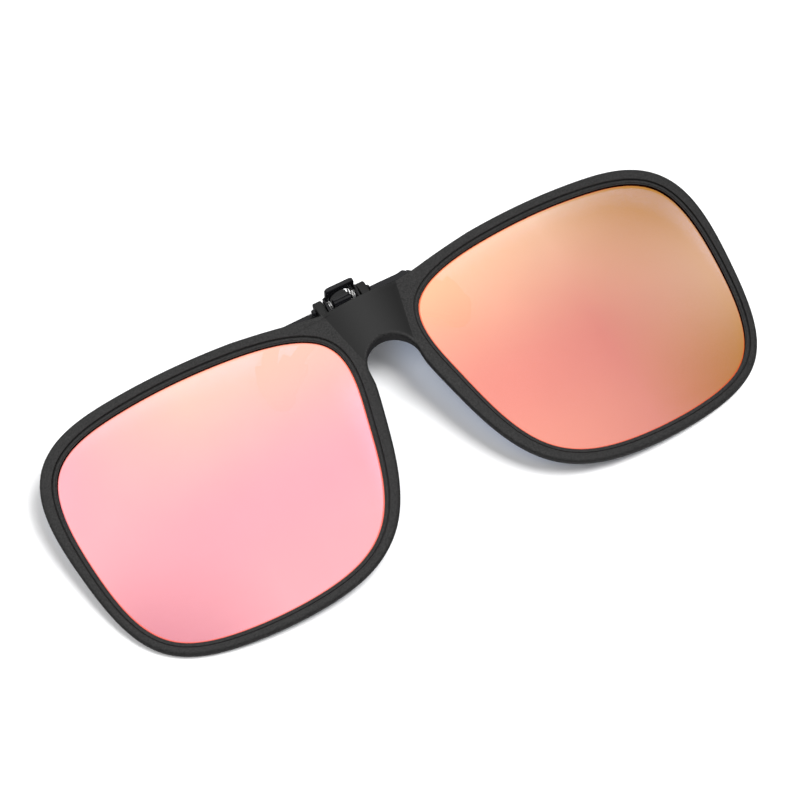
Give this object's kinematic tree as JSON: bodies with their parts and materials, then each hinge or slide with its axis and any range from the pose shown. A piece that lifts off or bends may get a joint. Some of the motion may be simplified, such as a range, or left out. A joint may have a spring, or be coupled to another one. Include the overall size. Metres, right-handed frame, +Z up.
{
  "type": "clip-on flip-up sunglasses",
  "caption": "Flip-up clip-on sunglasses: black plastic front, pink and orange mirrored lenses, sprung brow clip with rubber-sleeved claws.",
  "frame": {"origin": "centre of the base: the ground point below the middle of the bounding box, with the part lying on its clip and lower rims, fronts up", "axes": "+X to the lens on the right as seen from the front, +Y toward the brow edge, +Z up out of the fronts"},
  "size_m": [0.1388, 0.0616, 0.0199],
  "materials": {
    "frame_plastic": "fine-grained matte black",
    "lens_pink": "pink mirror coat",
    "lens_orange": "orange mirror coat",
    "black_steel": "satin black coating",
    "spring_steel": "bright drawn wire",
    "pad_rubber": "smooth moulded rubber"
  },
  "bodies": {
    "clip": {"front_jaw": "black_steel", "hinge_pin": "black_steel", "spring_left": "spring_steel", "spring_right": "spring_steel", "pad_front_left": "pad_rubber", "pad_front_right": "pad_rubber"},
    "front": {"front_frame": "frame_plastic", "lens_left": "lens_pink", "lens_right": "lens_orange"},
    "rear_clamp": {"rear_jaw": "black_steel", "pad_rear_left": "pad_rubber", "pad_rear_right": "pad_rubber"}
  },
  "joints": [
    {"name": "flip_up", "type": "hinge", "parent": "clip", "child": "front", "pos_m": [0, 0.0281, 0.00652], "axis": [-1, 0, 0], "range_deg": [0, 90]},
    {"name": "clamp_open", "type": "hinge", "parent": "clip", "child": "rear_clamp", "pos_m": [0, 0.0281, 0.00652], "axis": [1, 0, 0], "range_deg": [0, 25], "stiffness_Nm_per_rad": 0.03, "springref_deg": -34.38, "deforming": ["spring_left", "spring_right"]}
  ]
}
